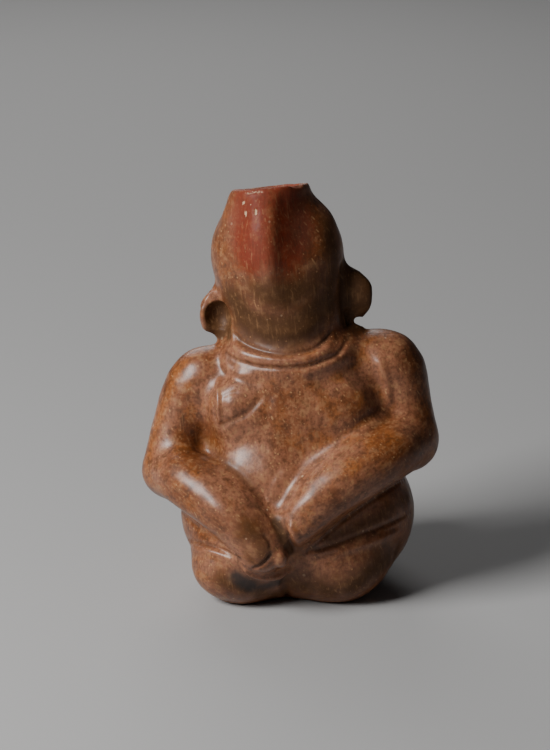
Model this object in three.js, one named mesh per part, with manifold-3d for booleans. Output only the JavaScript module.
// A hollow clay effigy vessel: a seated figure with its forearms folded behind its back and a pouring mouth
// on top of its head. Millimetres, +Z up. The figure faces -Y, so its left side lies towards +X.
import * as THREE from "three";
import { mergeVertices } from "three/addons/utils/BufferGeometryUtils.js";
import Module from "manifold-3d";

const wasm = await Module();
wasm.setup();

// Driving dimensions
const FIGURE_HEIGHT = 240; // floor to the top of the mouth
const WALL = 6; // thickness of the pot's wall
const MOUTH_RADIUS = 17; // inside radius of the mouth
const LIP_WIDTH = 4.8; // clay round the mouth
const MOUTH_PITCH = 13; // degrees by which the mouth's plane drops towards the face
const HEAD_LEAN = 6.2; // degrees by which the head leans to the figure's left
const SKIN_CELL = 2.44; // spacing of the points on the outside, in hundredths of the height
const HOLLOW_CELL = 5; // spacing of the points on the inside, in hundredths of the height
const EVENINGS = 10; // rounds of evening out the points

// The figure's pose and proportions are written in hundredths of its height.
const share = (amount) => (amount * FIGURE_HEIGHT) / 100;
const at = (x, y, z) => new THREE.Vector3(share(x), share(y), share(z));

// Clay forms. Each is a function that gives a point's distance from the form, negative inside it.

// An ellipsoid, turned by degrees about X, Y and Z.
function ball(centre, radii, turn = [0, 0, 0]) {
  const middle = at(...centre);
  const { x: rx, y: ry, z: rz } = at(...radii);
  const turned = new THREE.Euler(...turn.map(THREE.MathUtils.degToRad));
  const unturn = new THREE.Quaternion().setFromEuler(turned).invert();
  const local = new THREE.Vector3();
  return (p) => {
    local.subVectors(p, middle).applyQuaternion(unturn);
    const near = Math.hypot(local.x / rx, local.y / ry, local.z / rz);
    const slope = Math.hypot(local.x / rx ** 2, local.y / ry ** 2, local.z / rz ** 2);
    return slope === 0 ? -Math.min(rx, ry, rz) : (near * (near - 1)) / slope;
  };
}

// A coil of clay along a smooth curve. Each of its points is x, y, z and the coil's radius there.
function coil(points, pieces = 4 * (points.length - 1)) {
  const path = new THREE.CatmullRomCurve3(points.map(([x, y, z]) => at(x, y, z)));
  const knots = points.length - 1;
  const spots = Array.from({ length: pieces + 1 }, (_, i) => {
    const along = (i / pieces) * knots;
    const knot = Math.min(Math.floor(along), knots - 1);
    const radius = THREE.MathUtils.lerp(points[knot][3], points[knot + 1][3], along - knot);
    return { place: path.getPoint(i / pieces), radius: share(radius) };
  });
  const line = new THREE.Line3();
  const nearest = new THREE.Vector3();
  return (p) => {
    let distance = Infinity;
    for (let i = 0; i < pieces; i++) {
      line.set(spots[i].place, spots[i + 1].place);
      const along = line.closestPointToPointParameter(p, true);
      line.at(along, nearest);
      const radius = THREE.MathUtils.lerp(spots[i].radius, spots[i + 1].radius, along);
      distance = Math.min(distance, nearest.distanceTo(p) - radius);
    }
    return distance;
  };
}

const blend = (a, b, soft) => {
  const near = Math.max(soft - Math.abs(a - b), 0) / soft;
  return Math.min(a, b) - (near * near * soft) / 4;
};

// A step of modelling presses a form on with a soft seam. A model is its steps in order.
const add = (form, soft) => (distance, p) => blend(distance, form(p), share(soft));
const model = (...steps) => (p) => steps.reduce((distance, step) => step(distance, p), share(100));

// The head's own frame stands on the neck and leans with the head.
const NECK_HEIGHT = 62;
const NECK = at(0.7, 0, NECK_HEIGHT);
const headTurn = new THREE.Quaternion().setFromAxisAngle(
  new THREE.Vector3(0, 1, 0),
  THREE.MathUtils.degToRad(HEAD_LEAN),
);
const toHead = headTurn.clone().invert();
function onHead(form) {
  const local = new THREE.Vector3();
  return (p) => form(local.subVectors(p, NECK).applyQuaternion(toHead));
}

const both = (make) => [1, -1].map(make);

// The hollow body: everything that the wall goes round.
const hips = ball([-1.9, 1, 17.5], [28.2, 21.5, 21.5]);
const chest = ball([-2, 1, 41], [23.5, 16.5, 20]);
const neck = coil([[-1, 1, 54, 13.5], [0.7, 0.5, 66, 12.3]]);
const leftButtock = ball([11.5, 13.5, 9.3], [12.1, 10.4, 9.9]);
const rightButtock = ball([-11, 12.6, 9.4], [12.4, 10.2, 10]);
const trunk = [add(hips, 1), add(chest, 8), add(neck, 3), add(leftButtock, 4), add(rightButtock, 4)];

const LIP_RADIUS = ((MOUTH_RADIUS + LIP_WIDTH) * 100) / FIGURE_HEIGHT;
const MOUTH_HEIGHT = 35.9; // above the neck along the head, in hundredths of the height
const crown = ball([0.3, 0, 19.5], [15.8, 13.2, 15]);
const jaw = ball([0, -0.4, 8.6], [13.6, 12.8, 10.2]);
const spout = coil([[0.6, 0, 24, 11.5], [0.5, 0.4, 31, 9.8], [0, 0.5, MOUTH_HEIGHT + 3, LIP_RADIUS]]);
const skull = model(add(crown, 1), add(jaw, 6), add(spout, 3));
const core = model(...trunk, add(onHead(skull), 1.5));

// Shoulders, arms and hands. The forearms come round the sides and meet at the small of the back.
const leftElbow = [28.2, 5, 29.5, 6.5];
const leftForearm = [[24.5, 13, 30, 6.8], [16.5, 19.3, 26.5, 7], [10, 22.3, 21.6, 6.9]];
const leftHand = [6.8, 23.6, 16.8, 6.2];
const leftArm = [
  add(coil([[12, 1, 51, 7], [20.5, 1.5, 51.2, 7.6], [26.3, 3, 40, 6.5], leftElbow]), 3.5),
  add(coil([leftElbow, ...leftForearm, leftHand]), 3),
];
const rightElbow = [-28, 5.5, 37.2, 6.8];
const rightForearm = [[-24, 12.7, 37, 7], [-14.8, 18.6, 33.4, 7.2], [-7.3, 21.8, 28.8, 6.6]];
const rightHand = [-2, 23.8, 23.2, 5];
const rightArm = [
  add(coil([[-12, 1, 54, 7], [-23, 1.5, 55, 8], [-26.8, 2.8, 45, 6.9], rightElbow]), 3.5),
  add(coil([rightElbow, ...rightForearm, rightHand]), 3),
];

// Legs drawn up in front, with the feet flat on the floor.
const legs = both((side) => [
  add(coil([[side * 12, -2, 13, 10], [side * 14, -13, 18.5, 8.6], [side * 12.5, -20.5, 24, 7]]), 3),
  add(coil([[side * 12.5, -20.5, 23.5, 6.8], [side * 12, -22, 12, 6], [side * 11.5, -22.5, 5, 5.6]]), 2),
  add(ball([side * 11.5, -26.5, 3], [5.6, 7.2, 4.2]), 2),
]).flat();

// The roll of flesh at the nape, the shoulder blades, and the swelling above the hands.
const napeLeft = [[13.5, 1, 60.5, 2.2], [12, 8, 58.8, 2.7], [0, 12, 57.4, 3]];
const napeRight = [[-11.5, 9, 59, 2.8], [-13, 0, 62.5, 2.4]];
const back = [
  add(coil([...napeLeft, ...napeRight]), 3.2),
  add(ball([12, 11.4, 46], [7, 4.4, 8]), 3.5),
  add(ball([-12, 11.4, 46], [7, 4.2, 8]), 3.5),
  add(ball([6, 12.5, 31], [11, 7.5, 9]), 4),
];

// The head's crest and hairline behind, the ears at its sides and the face in front.
const crest = coil([[3, 7.8, 35, 1], [3, 11.2, 28, 2.2], [3, 11.7, 20, 2.2], [2, 10.6, 12, 1.2]]);
const hairLeft = [[12.2, 0, 5.5, 2], [10, 6.6, 3.4, 2.2], [0, 9.6, 2.2, 2.4]];
const hairRight = [[-9.4, 6.6, 3.4, 2.2], [-12, 0, 5.5, 2]];
const leftEar = ball([16.2, 0, 6.6], [4.6, 2.8, 6.6], [0, -10, 20]);
const rightEar = ball([-15.6, 0, 7.8], [6.4, 3.1, 7], [0, 0, -20]);
const brow = ball([0, -11.4, 16.4], [9.5, 2.7, 1.9]);
const nose = coil([[0, -12.6, 16, 1.5], [0, -13.9, 10.4, 2.3]]);
const eye = (side) => ball([side * 5.3, -12, 12], [3.5, 2, 2]);
const lips = ball([0, -12, 6], [4.2, 2.4, 1.9]);
const chin = ball([0, -9.6, 1.6], [5.5, 4.2, 3]);
const head = model(
  (_, p) => skull(p),
  add(crest, 6),
  add(coil([...hairLeft, ...hairRight]), 3),
  add(leftEar, 1.5),
  add(rightEar, 2),
  add(brow, 3),
  add(nose, 1.6),
  ...both((side) => add(eye(side), 1)),
  add(lips, 1.4),
  add(chin, 2),
);

const clay = model(...trunk, ...leftArm, ...rightArm, ...legs, ...back, add(onHead(head), 1.5));

// The outside and the inside. The underside is flat.
const figure = (p) => Math.max(clay(p), -p.z);
const hollow = (p) => Math.max(core(p), -p.z) + WALL;

// The surface where a field is zero: one point in each grid cell that it crosses, and one four-sided face
// across each grid edge that it crosses. The points are then evened out and set back on the surface.
function skin(field, spacing) {
  const cell = share(spacing);
  const low = at(-38, -38, -3);
  const counts = at(38, 36, NECK_HEIGHT + MOUTH_HEIGHT + 16).sub(low).divideScalar(cell).ceil().toArray();
  const [nx, ny, nz] = counts.map((count) => count + 1);
  const index = (i, j, k) => i + nx * (j + ny * k);
  const corner = (i, j, k, target) => target.set(i, j, k).multiplyScalar(cell).add(low);
  const p = new THREE.Vector3();
  const values = new Float64Array(nx * ny * nz);
  for (let k = 0; k < nz; k++)
    for (let j = 0; j < ny; j++)
      for (let i = 0; i < nx; i++) values[index(i, j, k)] = field(corner(i, j, k, p));

  const slope = new THREE.Vector3();
  const probe = new THREE.Vector3();
  const step = cell / 100;
  const settle = (point, times) => {
    for (let n = 0; n < times; n++) {
      const here = field(point);
      ["x", "y", "z"].forEach((axis) => {
        probe.copy(point)[axis] += step;
        slope[axis] = (field(probe) - here) / step;
      });
      point.addScaledVector(slope, -here / Math.max(slope.lengthSq(), 0.05));
    }
  };

  // A grid edge is its starting corner and its axis in one number. The surface crosses it where the sign
  // changes.
  const strides = [1, nx, nx * ny];
  const edgeOf = (start, axis) => 3 * start + axis;
  const crossed = (edge) => {
    const start = Math.floor(edge / 3);
    return values[start] < 0 !== values[start + strides[edge % 3]] < 0;
  };
  const crossing = (edge) => {
    const start = Math.floor(edge / 3);
    const from = values[start];
    const along = from / (from - values[start + strides[edge % 3]]);
    const place = new THREE.Vector3(start % nx, Math.floor(start / nx) % ny, Math.floor(start / (nx * ny)));
    place.setComponent(edge % 3, place.getComponent(edge % 3) + along);
    return place.multiplyScalar(cell).add(low);
  };

  // Each sheet of surface inside a grid cell gets a point of its own, so that sheets that pass close to each
  // other stay apart.
  const points = [];
  const sheetsOf = (cellStart) => {
    const sheet = new Map();
    const link = (a, b) => {
      const joined = [...(sheet.get(a) ?? [a]), ...(sheet.get(b) ?? [b])];
      const members = [...new Set(joined)];
      members.forEach((edge) => sheet.set(edge, members));
    };
    for (let axis = 0; axis < 3; axis++)
      for (const side of [0, 1]) {
        const [g, h] = [(axis + 1) % 3, (axis + 2) % 3];
        const first = cellStart + side * strides[axis];
        const corners = [first, first + strides[g], first + strides[g] + strides[h], first + strides[h]];
        const rim = [edgeOf(first, g), edgeOf(corners[1], h), edgeOf(corners[3], g), edgeOf(first, h)];
        const met = rim.filter(crossed);
        if (met.length === 2) link(...met);
        if (met.length === 4)
          corners.forEach((start, m) => values[start] < 0 && link(rim[m], rim[(m + 3) % 4]));
      }
    const pointOf = new Map();
    for (const members of new Set(sheet.values())) {
      const middle = members.reduce((sum, edge) => sum.add(crossing(edge)), new THREE.Vector3());
      points.push(middle.divideScalar(members.length));
      members.forEach((edge) => pointOf.set(edge, points.length - 1));
    }
    return pointOf;
  };
  const cells = new Map();
  const pointIn = (cellStart, edge) => {
    if (!cells.has(cellStart)) cells.set(cellStart, sheetsOf(cellStart));
    return cells.get(cellStart).get(edge);
  };

  const quads = [];
  for (let k = 1; k < nz - 1; k++)
    for (let j = 1; j < ny - 1; j++)
      for (let i = 1; i < nx - 1; i++)
        for (let axis = 0; axis < 3; axis++) {
          const start = index(i, j, k);
          const edge = edgeOf(start, axis);
          if (!crossed(edge)) continue;
          const [g, h] = [strides[(axis + 1) % 3], strides[(axis + 2) % 3]];
          const round = [start, start - g, start - g - h, start - h];
          const quad = round.map((cellStart) => pointIn(cellStart, edge));
          quads.push(values[start] < 0 ? quad : quad.reverse());
        }

  points.forEach((point) => settle(point, 3));
  for (let n = 0; n < EVENINGS; n++) {
    const sums = points.map(() => new THREE.Vector3());
    const links = points.map(() => 0);
    quads.forEach((quad) =>
      quad.forEach((a, m) => {
        const b = quad[(m + 1) % 4];
        sums[a].add(points[b]);
        sums[b].add(points[a]);
        links[a]++;
        links[b]++;
      }),
    );
    points.forEach((point, m) => {
      point.lerp(sums[m].divideScalar(links[m]), 0.5);
      settle(point, 2);
    });
  }

  const triangles = quads.flatMap(([a, b, c, d]) =>
    points[a].distanceTo(points[c]) < points[b].distanceTo(points[d])
      ? [a, b, c, a, c, d]
      : [a, b, d, b, c, d],
  );
  return new THREE.BufferGeometry().setFromPoints(points).setIndex(triangles);
}

// A closed geometry as a solid for cutting, and the geometry that a cut solid gives back.
function solidOf(geometry) {
  return new wasm.Manifold(
    new wasm.Mesh({
      numProp: 3,
      vertProperties: geometry.attributes.position.array,
      triVerts: new Uint32Array(geometry.index.array),
    }),
  );
}

function geometryOf(solid) {
  const { vertProperties, triVerts } = solid.getMesh();
  const geometry = new THREE.BufferGeometry()
    .setAttribute("position", new THREE.BufferAttribute(vertProperties, 3))
    .setIndex(new THREE.BufferAttribute(triVerts, 1));
  geometry.computeVertexNormals();
  return geometry;
}

// The mouth's bore runs down the head's axis into the hollow. The mouth is cut off by a plane that leans with
// the head and drops towards the face.
const BORE_LENGTH = share(28);
const CUT_RADIUS = share(20);
const CUT_HEIGHT = share(20);
const mouthCentre = at(0, 0.5, MOUTH_HEIGHT).applyQuaternion(headTurn).add(NECK);
const pitch = THREE.MathUtils.degToRad(MOUTH_PITCH);
const mouthTurn = headTurn.clone().multiply(
  new THREE.Quaternion().setFromAxisAngle(new THREE.Vector3(1, 0, 0), pitch),
);
function upright(radius, height, sides) {
  const shape = new THREE.CylinderGeometry(radius, radius, height, sides).rotateX(Math.PI / 2);
  shape.deleteAttribute("normal");
  shape.deleteAttribute("uv");
  return mergeVertices(shape);
}
const bore = upright(MOUTH_RADIUS, BORE_LENGTH, 36).applyQuaternion(headTurn).translate(...mouthCentre);
const cut = upright(CUT_RADIUS, CUT_HEIGHT, 8)
  .translate(0, 0, CUT_HEIGHT / 2)
  .applyQuaternion(mouthTurn)
  .translate(...mouthCentre);

const vessel = solidOf(skin(figure, SKIN_CELL))
  .subtract(solidOf(skin(hollow, HOLLOW_CELL)))
  .subtract(solidOf(bore))
  .subtract(solidOf(cut));

const clayMaterial = new THREE.MeshStandardMaterial({ color: 0x8a4a2f, roughness: 0.42, metalness: 0 });
const mesh = new THREE.Mesh(geometryOf(vessel), clayMaterial);
mesh.name = "vessel";

const effigyVessel = new THREE.Group();
effigyVessel.add(mesh);
export default effigyVessel;
